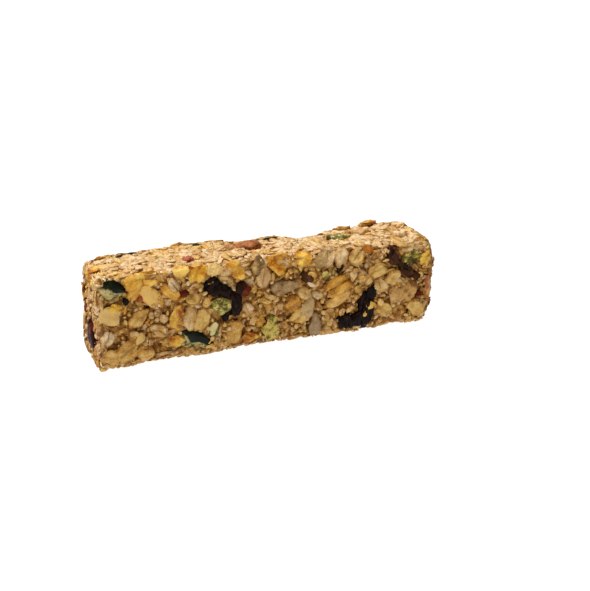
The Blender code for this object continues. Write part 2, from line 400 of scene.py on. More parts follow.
def edge_radius(points):
    """The radius of the block's edges, which wanders and grows towards the right end."""
    right = smooth_step((points[..., 0] - HIGH[0] + END_RUN) / END_RUN)
    left = smooth_step((LOW[0] + END_RUN - points[..., 0]) / END_RUN)
    worn = EDGE_MIN + EDGE_SPAN * lattice_noise(points, EDGE_PITCH, 5)
    return worn + END_ROUND * right - END_SHARP * left


def depth_under(face, points):
    """How far points lie under a face's outline."""
    return outline_at(face, points) - face["side"] * points[..., face["axis"]]


def crumbled(points):
    """Rounds the block's edges off.

    With a and b the depth under two faces that meet, and r the edge's radius, a point
    with hypot(r - a, r - b) > r stands over the edge and keeps only a part of that.
    """
    points = points.copy()
    radius = edge_radius(points)
    for first, second in EDGES:
        a, b = depth_under(first, points), depth_under(second, points)
        reach = np.hypot(radius - a, radius - b)
        outside = (a < radius) & (b < radius) & (reach > radius)
        share = np.where(outside, 1 - radius / np.maximum(reach, TABLE_GAP), 0.0)
        share *= 1 - SQUEEZE
        for face, under in ((first, a), (second, b)):
            points[..., face["axis"]] -= face["side"] * share * (radius - under)
    return points


def pressed(points, level, squeeze=SQUEEZE):
    """Squeezes what stands over the outline by more than level."""
    points = points.copy()
    for face in outline.values():
        over = -depth_under(face, points) - level
        points[..., face["axis"]] -= face["side"] * np.maximum(over, 0.0) * (1 - squeeze)
    points = crumbled(points)
    points[..., 2] = np.maximum(points[..., 2], TABLE_GAP)
    return points


def way_out(name, count=1):
    """The outward way of a face, once for each copy."""
    axis, side = FACES[name]
    out = np.zeros((count, 3))
    out[:, axis] = side
    return out


def on_face(name, first, second):
    """Points of the outline of a face, from their two coordinates along it."""
    face = outline[name]
    spots = np.zeros((len(first), 3))
    spots[:, face["others"][0]] = first
    spots[:, face["others"][1]] = second
    spots[:, face["axis"]] = face["side"] * outline_at(face, spots)
    return spots


def round_the_edge(name, spots):
    """Moves spots near a face's edges onto the rounding; also the outward way there.

    With r the radius and b the depth under each neighbour, the vector from the
    rounding's middle is r times the face's own way plus r - b times the neighbour's.
    """
    radius = edge_radius(spots)[:, None]
    push = radius * way_out(name)
    for other, face in outline.items():
        if face["axis"] != FACES[name][0]:
            near = np.maximum(radius[:, 0] - depth_under(face, spots), 0.0)
            push = push + near[:, None] * way_out(other)
    reach = np.linalg.norm(push, axis=-1, keepdims=True)
    return spots - (1 - radius / reach) * push, push / reach


def spread_spots(name, count, rng):
    """Evenly spread spots on a face: each next one steps by two irrational shares."""
    share = (np.arange(count)[:, None] * [0.7548776662, 0.5698402910] + rng.random(2)) % 1.0
    places = [LOW[k] + share[:, n] * (HIGH[k] - LOW[k])
              for n, k in enumerate(outline[name]["others"])]
    return on_face(name, *places)


# %% [markdown]
# ## The large pieces come first
#
# Scattering alone gives an even mix, but the eye knows a bar by its landmarks: this
# raisin, that fan of three oats, the two long nut slices. They are listed one by one. A row
# gives the face, two coordinates along it in millimetres (X from the middle of the bar,
# Y from its middle line, Z from the table), length, width, turn in degrees and how far it
# is toasted, from 0, cream, to 1, brown. Everything scattered later gives way to them and
# to the fruit: near such a piece it is laid deeper, so that the landmark stays in view
# and only crumbs lap over its rim.

# %% Rows of the pieces that are listed one by one
PLACED_CORN = (
    ("front", -43.6, 28.4, 11.0, 6.4, 14, 0.30),
    ("front", -31.6, 29.6, 5.0, 4.5, 0, 0.15),
    ("front", -26.4, 28.9, 7.4, 6.8, 30, 0.35),
    ("front", -14.6, 29.0, 8.6, 4.8, -55, 0.35),
    ("front", 0.4, 28.4, 9.4, 8.2, -25, 0.60),
    ("front", 9.4, 29.8, 6.4, 5.2, 10, 0.35),
    ("front", -33.8, 14.7, 8.6, 4.6, 86, 0.50),
    ("front", -52.8, 20.6, 3.8, 3.0, 0, 0.10),
    ("front", 53.6, 24.0, 5.0, 4.0, 60, 0.15),
    ("front", 55.0, 13.6, 8.4, 4.0, 84, 0.75),
    ("front", 32.0, 29.6, 3.4, 3.0, 0, 0.95),
    ("front", -34.6, 6.8, 5.0, 4.5, 20, 0.55),
    ("front", -10.0, 4.0, 4.5, 3.8, 40, 0.60),
    ("left", 7.0, 20.5, 5.0, 3.6, 80, 0.60),
    ("left", -2.0, 29.0, 5.0, 4.0, 10, 0.70),
    ("top", 41.0, 9.6, 8.0, 6.4, 20, 0.50),
    ("top", -57.0, -3.0, 4.5, 3.5, 60, 0.65),
)
PLACED_NUTS = (
    ("front", -46.6, 24.4, 8.6, 4.0, 48, 0.35),
    ("front", -40.6, 21.4, 11.6, 5.0, 126, -0.10),
    ("front", 20.4, 19.4, 9.6, 3.6, 20, 0.30),
    ("front", 22.0, 16.2, 10.4, 3.6, 22, 0.50),
    ("front", 21.2, 12.8, 9.6, 3.8, 24, 0.35),
    ("front", 5.0, 13.8, 5.6, 5.0, 15, 0.70),
    ("front", -36.2, 23.8, 8.0, 3.6, -50, 0.35),
    ("front", 33.0, 9.6, 3.8, 2.6, 30, 0.30),
    ("front", 36.8, 9.8, 2.8, 2.0, 80, 0.10),
    ("front", 31.0, 6.8, 2.6, 1.8, 10, 0.20),
    ("front", 11.4, 22.9, 3.4, 2.2, -30, 0.25),
)
PLACED_OATS = (
    ("front", -45.6, 16.1, 7.6, 4.6, 35, 0.45),
    ("front", -29.4, 13.6, 8.0, 5.4, 82, 0.35),
    ("front", -25.4, 12.8, 8.0, 5.0, 78, 0.15),
    ("front", -14.7, 7.1, 8.2, 6.2, 84, 0.40),
    ("front", -54.6, 17.6, 7.0, 6.0, 20, -0.50),
    ("front", -21.2, 29.2, 5.6, 5.0, 0, -0.50),
    ("front", -34.0, 24.6, 7.0, 4.0, -50, 0.40),
    ("front", 7.4, 9.0, 6.0, 5.0, 40, 0.20),
    ("front", 9.4, 16.6, 5.6, 4.6, -30, 0.30),
    ("front", 35.6, 21.4, 7.4, 5.0, 20, 0.20),
    ("front", 36.4, 15.6, 6.4, 4.6, 70, 0.30),
    ("front", 38.6, 7.0, 7.0, 5.0, -20, 0.15),
    ("front", -39.6, 11.0, 6.4, 4.6, -20, 0.25),
    ("front", 28.0, 27.6, 6.0, 4.6, 50, 0.20),
    ("front", 45.2, 11.2, 11.4, 10.4, 60, 0.45),
    ("front", 50.6, 6.0, 7.0, 5.6, -20, 0.20),
    ("front", 41.4, 18.0, 6.0, 4.4, 30, 0.15),
    ("front", 17.6, 28.6, 8.0, 5.0, 70, 0.40),
    ("front", 22.6, 28.0, 8.0, 5.5, 75, 0.30),
    ("front", -50.0, 5.4, 8.4, 6.0, 30, 0.30),
    ("front", -5.0, 24.0, 7.4, 5.4, 80, 0.55),
    ("front", -3.6, 31.0, 5.2, 3.8, 10, -0.60),
    ("front", -17.4, 28.6, 5.4, 4.4, 20, 0.50),
    ("front", -54.4, 4.6, 7.6, 6.0, 10, 0.10),
    ("front", -44.0, 3.8, 5.6, 4.4, 0, 0.25),
    ("front", -55.8, 10.8, 5.2, 4.6, 60, 0.15),
)
# Flakes that stand over the top's back edge.
PLACED_LUMPS = (
    ("top", 41.2, 10.6, 6.6, 5.4, 10, 0.15),
    ("top", 52.6, 6.6, 7.4, 6.0, 40, 0.15),
    ("top", 31.4, 10.4, 6.4, 5.0, -10, 0.25),
    ("top", 17.0, 11.2, 5.4, 4.4, 20, 0.20),
    ("top", -14.6, 11.0, 6.6, 4.6, 5, 0.50),
    ("top", -27.4, 11.2, 6.0, 4.8, -20, 0.30),
    ("top", -37.6, 11.0, 5.4, 4.4, 10, 0.15),
    ("top", -52.0, 10.6, 5.6, 4.6, 30, 0.20),
    ("top", 46.8, -4.0, 6.4, 5.0, 60, 0.10),
    ("top", 35.0, 3.0, 6.8, 5.2, -30, 0.25),
)
PLACED_SUNFLOWER = (
    ("front", -6.2, 28.8, 7.4, 4.2, 80, 0.70),
    ("front", 2.4, 19.8, 10.4, 5.2, 6, 0.55),
    ("front", 13.2, 5.2, 8.4, 4.4, 84, 0.60),
    ("front", 10.6, 12.4, 8.6, 4.6, 72, 0.05),
    ("front", 15.6, 28.4, 8.0, 4.0, 66, 0.20),
)
PLACED_GREEN = (
    ("front", -19.4, 16.4, 6.4, 5.2, 30, 0.65),
    ("front", -2.4, 6.4, 8.4, 6.0, 70, 0.05),
    ("front", 47.8, 24.2, 6.6, 5.8, 20, 0.75),
    ("front", -21.6, 8.6, 4.4, 3.8, 60, 0.30),
    ("top", 26.0, 1.4, 8.0, 6.0, 0, 0.80),
    ("front", 17.0, 22.4, 3.4, 3.0, 0, 0.30),
)
PLACED_RED = (
    ("front", -31.3, 22.5, 2.8, 2.4, 0, 0.20),
    ("front", -45.1, 22.9, 3.2, 1.8, 80, 0.90),
    ("front", -11.2, 20.4, 3.8, 3.0, 60, 0.45),
    ("front", 51.2, 11.4, 2.4, 2.2, 0, 0.30),
    ("left", 3.4, 17.0, 4.4, 2.4, 86, 0.50),
    ("top", -27.2, -4.0, 4.6, 3.0, 30, 0.90),
)
# Torn bits of raisin, which join the whole ones to dark clusters.
PLACED_SCRAPS = (
    ("front", -18.4, 21.2, 5.4, 4.2, -40, 0.20),
    ("front", -12.6, 21.8, 4.6, 3.4, 70, 0.70),
    ("front", -17.6, 13.4, 4.0, 2.4, 60, 0.10),
    ("front", 28.4, 5.0, 6.0, 5.0, 30, 0.20),
    ("front", 33.4, 13.8, 4.6, 3.6, 90, 0.10),
    ("front", 44.6, 22.6, 5.2, 3.2, -50, 0.60),
    ("front", 50.0, 17.8, 4.0, 2.6, -30, 0.80),
    ("front", 40.6, 28.2, 4.4, 2.4, 80, 0.70),
    ("front", 21.6, 24.2, 3.4, 2.0, 60, 0.60),
    ("front", -49.4, 22.0, 2.6, 1.8, 100, 0.10),
)
# Dark gaps: face, two coordinates and radius.
GAPS = (
    ("front", -51.8, 15.2, 1.3),
    ("front", -51.4, 9.4, 2.4),
    ("front", -33.0, 4.0, 1.4),
    ("front", 30.5, 24.0, 1.6),
    ("front", 25.2, 28.6, 1.2),
    ("front", 50.8, 11.0, 1.3),
    ("front", -20.2, 11.6, 1.4),
)


# %% Room that the fruit takes
FRUIT_DEPTH = 2.6 * MM
# Size of the room over the fruit's own: the seeds are partly covered, the almond isn't.
FRUIT_ROOM = {"raisin": 1.0, "cranberry": 1.15, "almond": 1.3, "pumpkin": 0.85}
def nearest_face(point):
    """The face of the bar that a point lies closest to."""
    room = {name: (HIGH if side > 0 else LOW)[axis] * side - point[axis] * side
            for name, (axis, side) in FACES.items()}
    return min(room, key=room.get)


def fruit_rows():
    """Where others give way to fruit: a middle, three half sizes and a depth in each row."""
    rows = []
    for node in sorted(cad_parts):
        if node != "bar":
            low, high = (np.array(corner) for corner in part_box(node))
            middle, half = (low + high) / 2, (high - low) / 2 * FRUIT_ROOM[node.split("_")[0]]
            half[FACES[nearest_face(middle)][0]] = half.max()
            rows.append([*middle, *half, FRUIT_DEPTH])
    return rows


def room_share(spots, rooms, grow=0.0):
    """How far each spot is from the middle of each room, as a share of the room's size."""
    middle, half = rooms[:, :3], rooms[:, 3:6]
    return np.linalg.norm((spots[..., None, :] - middle) / (half + grow), axis=-1)


# %% The hidden faces
BEHIND = {"front": "back", "left": "right"}
BEHIND_TURN = 35  # degrees, so that a repeated piece isn't recognised
BEHIND_HIGHEST = 25.0  # mm above the table
FRUIT = np.array(fruit_rows())


def both_sides(table):
    """A table with the front's rows repeated on the back and the left end's on the right.

    They are mirrored about the middle, turned a little, kept off the upper edge and left
    out over fruit.
    """
    rows = []
    for face, first, second, length, width, turn, tone in table:
        if face in BEHIND:
            behind, second = BEHIND[face], min(second, BEHIND_HIGHEST)
            spot = on_face(behind, [-first * MM], [second * MM])
            if room_share(spot, FRUIT).min() > 1.2:
                rows.append((behind, -first, second, length, width, BEHIND_TURN - turn, tone))
    return *table, *rows


TABLES = {
    "corn": both_sides(PLACED_CORN),
    "nuts": both_sides(PLACED_NUTS),
    "oats": both_sides(PLACED_OATS),
    "lumps": PLACED_LUMPS,
    "sunflower": both_sides(PLACED_SUNFLOWER),
    "green": both_sides(PLACED_GREEN),
    "red": both_sides(PLACED_RED),
    "scraps": both_sides(PLACED_SCRAPS),
}


# %% Room that the scattered pieces leave
PLACED_DEPTH = 1.2 * MM
GAP_DEPTH = 2.4 * MM


def placed_rows():
    """Where others give way to placed pieces and gaps, rows like the fruit's.

    A piece of length l and width w that is turned by t reaches hypot(l cos t, w sin t) / 2
    one way along its face and hypot(l sin t, w cos t) / 2 the other way.
    """
    rows = []
    for table in TABLES.values():
        for face, first, second, length, width, turn, _ in table:
            spot = on_face(face, [first * MM], [second * MM])[0]
            cosine, sine = math.cos(math.radians(turn)), math.sin(math.radians(turn))
            half = np.full(3, max(length, width) / 2)
            half[outline[face]["others"][0]] = math.hypot(length * cosine, width * sine) / 2
            half[outline[face]["others"][1]] = math.hypot(length * sine, width * cosine) / 2
            rows.append([*spot, *half * MM, PLACED_DEPTH])
    for face, first, second, radius in GAPS:
        spot = on_face(face, [first * MM], [second * MM])[0]
        rows.append([*spot, *[radius * MM] * 3, GAP_DEPTH])
    return rows


ROOM = np.vstack([FRUIT, placed_rows()])
print(len(ROOM), "pieces and gaps that the others give way to")


def given_way(spots, grow=0.0, edge=0.35):
    """How much deeper a piece at each spot is laid: all the depth inside a room, and
    none beyond it by the share edge of its size. grow widens the rooms for long pieces.
    """
    away = room_share(spots, ROOM, grow)
    return (ROOM[:, 6] * (1 - smooth_step((away - 0.8) / edge))).max(axis=-1)


# %% [markdown]
# ## Camera, table and light
#
# The bar lies on a white table, seen from a little above and from the left, through a
# long lens. One large soft light hangs over it, so the top is bright and the front lives
# on what the table throws back. The table glows a little by itself, and more so far away:
# that keeps it white up to the horizon and the bar's shadow faint, without another light
# that would flatten the front. A weak second light puts small highlights on the fruit.

# %% Camera
EYE = np.array([-103.4, -285.4, 124.6]) * MM
YAW = math.radians(-21.72)
DOWN = math.radians(20.11)
LENS = 58.94

camera_data = bpy.data.cameras.new("camera")
camera_data.lens = LENS
camera_data.sensor_width = 36.0
camera_data.clip_start = 5 * MM
camera = bpy.data.objects.new("camera", camera_data)
camera.location = EYE
camera.rotation_euler = (math.pi / 2 - DOWN, 0.0, YAW)
bpy.context.scene.collection.objects.link(camera)
bpy.context.scene.camera = camera
bpy.context.scene.view_settings.view_transform = "Standard"


# %% Node helpers
def srgb(red, green, blue):
    """A colour given in the usual 0 to 255 steps, as the linear values that nodes want."""
    share = np.array([red, green, blue]) / 255
    linear = np.where(share <= 0.04045, share / 12.92, ((share + 0.055) / 1.055) ** 2.4)
    return (*(float(value) for value in linear), 1.0)


def feed(tree, socket, value):
    """Gives a socket its value: a constant, or another node's output to link."""
    if isinstance(value, bpy.types.NodeSocket):
        tree.links.new(value, socket)
    else:
        socket.default_value = value


def put(tree, kind, inputs=(), **properties):
    """A node with its properties set and its inputs, by name or number, fed."""
    node = tree.nodes.new(kind)
    for key, value in properties.items():
        setattr(node, key, value)
    for key, value in dict(inputs).items():
        feed(tree, node.inputs[key], value)
    return node


def sum_of(tree, operation, first, second=0.0):
    """The output of a Math node."""
    return put(tree, "ShaderNodeMath", {0: first, 1: second}, operation=operation).outputs[0]


def mixed(tree, share, first, second):
    """The colour first where share is 0, second where it is 1."""
    inputs = {0: share, 6: first, 7: second}
    return put(tree, "ShaderNodeMix", inputs, data_type="RGBA").outputs[2]


def between(tree, value, low, high):
    """0 below low, 1 above high, smooth in between."""
    inputs = {"Value": value, "From Min": low, "From Max": high}
    node = put(tree, "ShaderNodeMapRange", inputs, interpolation_type="SMOOTHSTEP")
    return node.outputs[0]


def noise(tree, where, size, detail=2.0):
    inputs = {"Vector": where, "Scale": size, "Detail": detail}
    return put(tree, "ShaderNodeTexNoise", inputs).outputs[0]


# %% Table and lights
TABLE_SIDE = 12.0
GLOW_NEAR = 0.78
GLOW_FAR = 1.1
GLOW_SEEN = 0.95  # at least this much where it is seen directly
ROOM_GLOW = 0.12  # the room throws back little, but is white where it is seen directly


def add_table():
    """A flat white sheet: the corners of one square, far larger than the view."""
    mesh = bpy.data.meshes.new("table")
    corner = np.array([[-1, -1], [1, -1], [1, 1], [-1, 1]]) * TABLE_SIDE / 2
    mesh.from_pydata([(x, y, 0.0) for x, y in corner], [], [(0, 1, 2, 3)])
    paper = bpy.data.materials.new("white_table")
    paper.use_nodes = True
    tree = paper.node_tree
    shader = tree.nodes["Principled BSDF"]
    where = put(tree, "ShaderNodeTexCoord").outputs["Object"]
    away = put(tree, "ShaderNodeVectorMath", {0: where}, operation="LENGTH").outputs["Value"]
    far = between(tree, away, 0.3, 1.2)
    more = sum_of(tree, "MULTIPLY", far, GLOW_FAR - GLOW_NEAR)
    glow = sum_of(tree, "ADD", more, GLOW_NEAR)
    seen = put(tree, "ShaderNodeLightPath").outputs["Is Camera Ray"]
    seen = sum_of(tree, "MULTIPLY", seen, GLOW_SEEN)
    feed(tree, shader.inputs["Emission Strength"], sum_of(tree, "MAXIMUM", glow, seen))
    shader.inputs["Emission Color"].default_value = (1.0, 1.0, 1.0, 1.0)
    shader.inputs["Base Color"].default_value = (0.2, 0.2, 0.2, 1.0)
    shader.inputs["Roughness"].default_value = 0.8
    mesh.materials.append(paper)
    table = bpy.data.objects.new("table", mesh)
    bpy.context.scene.collection.objects.link(table)


def add_softbox(name, place, side, power):
    """A square area light at place that faces the bar."""
    data = bpy.data.lights.new(name, "AREA")
    data.shape = "SQUARE"
    data.size = side
    data.energy = power
    light = bpy.data.objects.new(name, data)
    light.location = place
    light.rotation_euler = (-Vector(place)).to_track_quat("-Z", "Y").to_euler()
    bpy.context.scene.collection.objects.link(light)


add_table()
add_softbox("overhead", (-0.25, 0.10, 1.00), 1.0, 14.1)
add_softbox("camera_side", (-0.90, -0.80, 0.90), 0.5, 2.5)
room = bpy.data.worlds.new("room")
room.use_nodes = True
backdrop = room.node_tree.nodes["Background"]
backdrop.inputs["Color"].default_value = (1.0, 1.0, 1.0, 1.0)
seen = put(room.node_tree, "ShaderNodeLightPath").outputs["Is Camera Ray"]
strength = sum_of(room.node_tree, "MAXIMUM", seen, ROOM_GLOW)
feed(room.node_tree, backdrop.inputs["Strength"], strength)
bpy.context.scene.world = room


# %% [markdown]
# ## Finishes
#
# Toasting is what all the dry pieces share: each has its own tone from cream to brown and is
# mottled at the scale of a millimetre. Each is darker along its rim, partly browned by the oven
# and partly painted shade where it meets its neighbours, and a golden syrup tint darkens it,
# more on some faces than on others, which is partly painted shade. That is one node group
# with three colours and a tone. A second group gives the height of the surface's grain, a
# third finds the rim and the crease from a flake's own coordinates; both are darkened partly
# as painted shade. The shader itself stays in each finish, so that a glossy raisin and a dry
# oat can differ.

# %% A group with named inputs and outputs
def new_group(name, inputs, outputs):
    """An empty node group; inputs are name, kind and value, outputs name and kind."""
    tree = bpy.data.node_groups.new(name, "ShaderNodeTree")
    for label, kind, value in inputs:
        socket = tree.interface.new_socket(label, in_out="INPUT", socket_type=kind)
        if value is not None:
            socket.default_value = value
    for label, kind in outputs:
        tree.interface.new_socket(label, in_out="OUTPUT", socket_type=kind)
    return tree, tree.nodes.new("NodeGroupInput"), tree.nodes.new("NodeGroupOutput")


# %% Toasting
# A golden tint, partly syrup, partly painted shade that darkens whole faces.
SYRUP_AND_SHADE_TINT = (0.92, 0.80, 0.40, 1.0)


def make_toasting_and_shade():
    """Cream to brown by tone, mottled by two noises, browned along the rim, partly as toasting
    and partly as painted shade, and turned golden and darker by a syrup tint, which takes away
    blue and some green; its amount on each face is partly painted shade."""
    tree, given, result = new_group(
        "toasting",
        (
            ("Vector", "NodeSocketVector", None),
            ("Tone", "NodeSocketFloat", 0.5),
            ("Rim", "NodeSocketFloat", 0.0),
            ("Syrup and shade", "NodeSocketFloat", 0.5),
            ("Pale", "NodeSocketColor", None),
            ("Middle", "NodeSocketColor", None),
            ("Brown", "NodeSocketColor", None),
            ("Mottle", "NodeSocketFloat", 0.5),
            ("Size", "NodeSocketFloat", 500.0),
        ),
        (("Color", "NodeSocketColor"),),
    )
    where, size = given.outputs["Vector"], given.outputs["Size"]
    broad = noise(tree, where, size)
    fine = noise(tree, where, sum_of(tree, "MULTIPLY", size, 4.3))
    both = sum_of(tree, "ADD", broad, sum_of(tree, "MULTIPLY", fine, 0.6))
    stray = sum_of(tree, "MULTIPLY", sum_of(tree, "SUBTRACT", both, 0.8), given.outputs["Mottle"])
    tone = sum_of(tree, "ADD", given.outputs["Tone"], sum_of(tree, "MULTIPLY", stray, 2.0))
    # The rim's browning: partly toasting, partly painted shade where pieces meet.
    tone = sum_of(tree, "ADD", tone, given.outputs["Rim"])
    warmth = between(tree, tone, 0.0, 0.55)
    warm = mixed(tree, warmth, given.outputs["Pale"], given.outputs["Middle"])
    brown = mixed(tree, between(tree, tone, 0.5, 1.1), warm, given.outputs["Brown"])
    # The syrup tint: partly a glaze, partly painted shade on whole faces.
    wet_and_shaded = mixed(tree, given.outputs["Syrup and shade"], (1.0, 1.0, 1.0, 1.0), SYRUP_AND_SHADE_TINT)
    tinted = put(tree, "ShaderNodeMix", {0: 1.0, 6: brown, 7: wet_and_shaded}, data_type="RGBA",
                 blend_type="MULTIPLY")
    feed(tree, result.inputs["Color"], tinted.outputs[2])
    return tree


TOASTING_AND_SHADE = make_toasting_and_shade()


# %% Grain
def make_grain():
    """Height of fine grain: soft noise, and small cells for a floury, broken surface."""
    tree, given, result = new_group(
        "grain",
        (
            ("Vector", "NodeSocketVector", None),
            ("Size", "NodeSocketFloat", 900.0),
            ("Cells", "NodeSocketFloat", 0.5),
        ),
        (("Height", "NodeSocketFloat"),),
    )
    where, size = given.outputs["Vector"], given.outputs["Size"]
    soft = noise(tree, where, size, 4.0)
    cells = put(tree, "ShaderNodeTexVoronoi", {"Vector": where, "Scale": size})
    part = sum_of(tree, "MULTIPLY", cells.outputs["Distance"], given.outputs["Cells"])
    feed(tree, result.inputs["Height"], sum_of(tree, "ADD", soft, part))
    return tree


GRAIN = make_grain()


# %% Rim and crease
def make_rim_and_crease_browning_and_shade():
    """From a flake's own coordinates: how near the rim a point is, and the crease. Both darken
    the colour, partly as browning or bran and partly as painted shade.
    """
    tree, given, result = new_group(
        "rim_and_crease_browning_and_shade",
        (("Place", "NodeSocketVector", None),),
        (("Rim", "NodeSocketFloat"), ("Crease", "NodeSocketFloat")),
    )
    axes = put(tree, "ShaderNodeSeparateXYZ", {"Vector": given.outputs["Place"]})
    x, y = axes.outputs["X"], axes.outputs["Y"]
    squares = [sum_of(tree, "MULTIPLY", value, value) for value in (x, y)]
    rim = between(tree, sum_of(tree, "ADD", *squares), 0.45, 1.1)
    line = between(tree, sum_of(tree, "ABSOLUTE", y), 0.16, 0.02)
    ends = between(tree, sum_of(tree, "ABSOLUTE", x), 0.9, 0.55)
    feed(tree, result.inputs["Rim"], rim)
    feed(tree, result.inputs["Crease"], sum_of(tree, "MULTIPLY", line, ends))
    return tree


RIM_AND_CREASE_BROWNING_AND_SHADE = make_rim_and_crease_browning_and_shade()


# %% A toasted finish, with painted shade
DULL = 0.2  # these skins are porous and throw back little of a white room
FRUIT_DULL = 0.03  # dried fruit and seed skins even less, apart from a thin glaze


def bumped(tree, shader, where, height, distance):
    """Feeds a height, in shares of distance in millimetres, to the shader's normal."""
    relief = put(tree, "ShaderNodeBump", {"Height": height, "Distance": distance * MM})
    feed(tree, shader.inputs["Normal"], relief.outputs["Normal"])


def grain_height(tree, where, size, cells):
    inputs = {"Vector": where, "Size": size, "Cells": cells}
    return put(tree, "ShaderNodeGroup", inputs, node_tree=GRAIN).outputs["Height"]


def toasted_and_shaded(name, pale, middle, brown, mottle=0.6, size=450.0, rim=0.45, crease=0.0,
            rough=0.6, coat=0.08, bump=0.4, grain=800.0, cells=0.6, hollow_shade=0.22, dull=DULL):
    """The finish of a dry piece: toasting colours, grain and a thin film of syrup.

    The red part of a copy's dye is its tone, green how deep its crease is and blue how much
    syrup tint is on it, which is partly painted shade. The hollow shade argument sets how much
    browner its dips are than its hills: painted shade. The rim and the crease are darkened
    partly as painted shade too.
    """
    finish = bpy.data.materials.new(name)
    finish.use_nodes = True
    tree = finish.node_tree
    shader = tree.nodes["Principled BSDF"]
    where = put(tree, "ShaderNodeTexCoord").outputs["Object"]
    dye_and_shade = put(tree, "ShaderNodeAttribute", attribute_name="dye_and_shade").outputs["Color"]
    place = put(tree, "ShaderNodeAttribute", attribute_name="place").outputs["Vector"]
    parts = put(tree, "ShaderNodeSeparateColor", {"Color": dye_and_shade}).outputs
    edge = put(tree, "ShaderNodeGroup", node_tree=RIM_AND_CREASE_BROWNING_AND_SHADE)
    feed(tree, edge.inputs["Place"], place)
    toast = put(tree, "ShaderNodeGroup", node_tree=TOASTING_AND_SHADE)
    hills = put(tree, "ShaderNodeSeparateXYZ", {"Vector": place}).outputs["Z"]
    inputs = {
        "Vector": where,
        # Browner in the dips of its surface than on its hills: painted shade.
        "Tone": sum_of(tree, "SUBTRACT", parts[0], sum_of(tree, "MULTIPLY", hills, hollow_shade)),
        "Rim": sum_of(tree, "MULTIPLY", edge.outputs["Rim"], rim),
        "Syrup and shade": parts[2],
        "Pale": srgb(*pale),
        "Middle": srgb(*middle),
        "Brown": srgb(*brown),
        "Mottle": mottle,
        "Size": size,
    }
    for label, value in inputs.items():
        feed(tree, toast.inputs[label], value)
    colour = toast.outputs["Color"]
    height = grain_height(tree, where, grain, cells)
    # The crease is drawn darker: partly bran in the groove, partly painted shade.
    if crease:
        line = sum_of(tree, "MULTIPLY", edge.outputs["Crease"], parts[1])
        colour = mixed(tree, sum_of(tree, "MULTIPLY", line, crease), colour, srgb(*brown))
        height = sum_of(tree, "SUBTRACT", height, sum_of(tree, "MULTIPLY", line, 0.8))
    feed(tree, shader.inputs["Base Color"], colour)
    bumped(tree, shader, where, height, bump)
    shader.inputs["Roughness"].default_value = rough
    shader.inputs["Specular IOR Level"].default_value = dull
    shader.inputs["Coat Weight"].default_value = coat
    shader.inputs["Coat Roughness"].default_value = 0.3
    return finish


# %% [markdown]
# ## The core
#
# Between the flakes one looks down on crumbs stuck in syrup. The core is a closed skin a
# few millimetres under the outline: a square loop is carried along the bar and drawn shut
# at both ends, so that its rows and columns lie evenly on the faces, and then everything
# is pressed down to its depth. Noise on a lattice makes it crumbly. Its colour is tan on
# the tips and, as painted shade, dark in the pits and darkest in the gaps; its brown is
# partly syrup and partly painted shade.

# %% The sleeve
def bar_grid(along, around, cap):
    """A closed sleeve over the bar's box, with its poles in the middle of both ends.

    With q running from 0 to 4 round the loop, the two coordinates across the bar are a
    clipped triangle wave of q and the same wave a quarter turn later. The loop is scaled
    to nothing over cap rows at either end.
    """
    q = 4 * np.arange(around) / around
    loop = [np.clip(2 * (np.abs((q - turn) % 4 - 2) - 1), -1, 1) for turn in (0, 1)]
    shrink = np.arange(1, cap) / cap
    scale = np.concatenate([shrink, np.ones(along), shrink[::-1]])[:, None]
    ends = np.ones(cap - 1)
    run = np.concatenate([-ends, np.linspace(-1, 1, along), ends])
    columns = np.broadcast_to(run[:, None], (len(run), around))
    rings = np.stack([columns, scale * loop[0], scale * loop[1]], axis=-1)
    points = np.vstack([[[-1, 0, 0]], rings.reshape(-1, 3), [[1, 0, 0]]])
    here = 1 + np.arange(len(run) * around).reshape(len(run), around)
    after = np.roll(here, -1, axis=1)
    quads = np.stack([here[:-1], after[:-1], after[1:], here[1:]], axis=-1)
    first = np.stack([0 * here[0], after[0], here[0]], axis=-1)
    last = np.stack([0 * here[0] + len(points) - 1, here[-1], after[-1]], axis=-1)
    shape = {"quads": quads.reshape(-1, 4), "tris": np.vstack([first, last])}
    return (LOW + HIGH) / 2 + points * (HIGH - LOW) / 2, shape


# %% Core
CORE_DEPTH = 1.8 * MM
CORE_RELIEF = 0.8 * MM
CORE_GAP = 0.5  # share of a gap's depth that the core sinks by
TOP_RUN = 4 * MM  # how far below the top the paler crumb starts
TOP_RISE = 0.9 * MM  # how much nearer the core lies under the pressed top


def build_core():
    """Sinks the sleeve by depth and relief; dye red is darker in pits and gaps, which is
    painted shade, and paler at the top.
    """
    points, shape = bar_grid(along=190, around=160, cap=18)
    relief = 0.6 * lattice_noise(points, 2.1 * MM, 1) + 0.4 * lattice_noise(points, 0.9 * MM, 2)
    gap = given_way(points)
    high = smooth_step((points[:, 2] - HIGH[2] + TOP_RUN) / TOP_RUN)
    sink = CORE_DEPTH + CORE_RELIEF * (1 - 2 * relief) + CORE_GAP * gap - TOP_RISE * high
    # Painted shade: browner in the pits and gaps. Paler near the top, with less syrup tint.
    tone = 1.25 - 1.25 * relief - 0.4 * high + 0.2 * gap / GAP_DEPTH
    dye_and_shade = np.column_stack([tone, relief, 0.9 - 0.8 * high, np.ones(len(tone))])
    # The brown stands partly for syrup and partly for painted shade in the pits.
    core_finish = toasted_and_shaded(
        "core_crumb_and_pit_shade", (218, 174, 110), (184, 134, 76), (104, 64, 28),
        mottle=0.5, size=900.0, rim=0.0, rough=0.5, bump=0.25, grain=1400.0,
    )
    points = pressed(points, -sink, squeeze=0.0)
    group = (points[None], np.zeros((1, *points.shape)), dye_and_shade[None], shape)
    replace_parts(as_mesh("core", [group], core_finish), "bar")


build_core()


